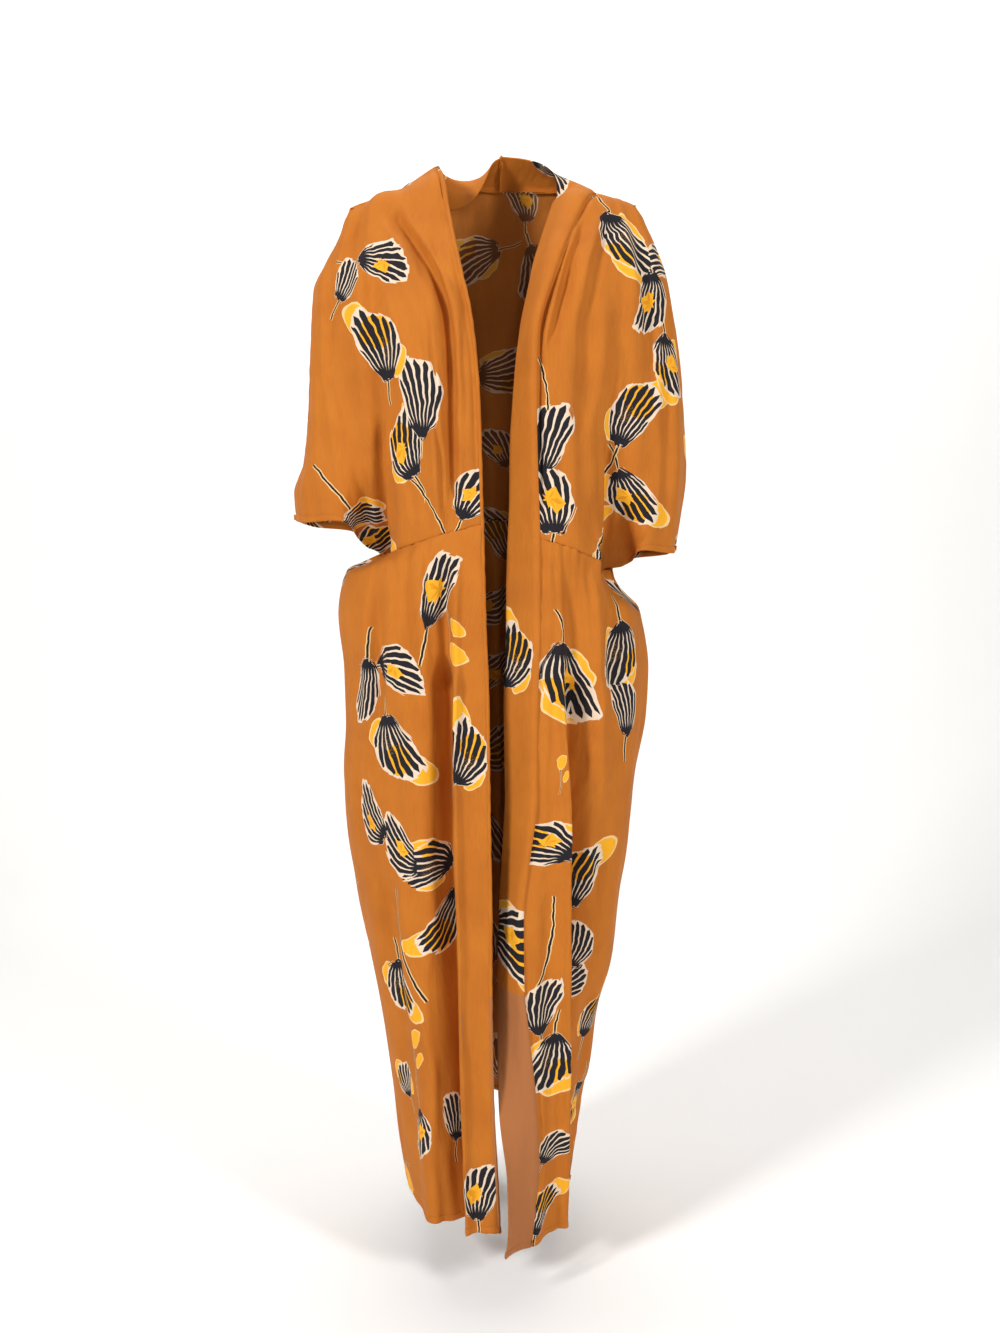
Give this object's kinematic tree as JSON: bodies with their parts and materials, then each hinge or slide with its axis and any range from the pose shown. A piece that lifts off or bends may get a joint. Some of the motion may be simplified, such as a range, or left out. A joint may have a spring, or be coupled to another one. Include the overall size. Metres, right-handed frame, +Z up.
{
  "type": "kimono coat",
  "caption": "Long open-front kimono coat with wide elbow-length dolman sleeves, a waist seam and a turned front band, kept in its worn form.",
  "frame": {"origin": "Midway between the tops of the shoulders, on the shoulder line where the wearer carries the coat.", "axes": "+Z up, -Y the wearer's front, +X the wearer's left."},
  "size_m": [0.52, 0.3711, 1.4289],
  "materials": {
    "cloth": "woven rayon, matt",
    "band_cloth": "woven rayon, matt, doubled"
  },
  "bodies": {
    "root": {"front_right": "cloth", "front_left": "cloth", "back": "cloth", "skirt_front_right": "cloth", "skirt_front_left": "cloth", "skirt_back": "cloth", "band_right": "band_cloth", "band_left": "band_cloth"}
  },
  "joints": []
}
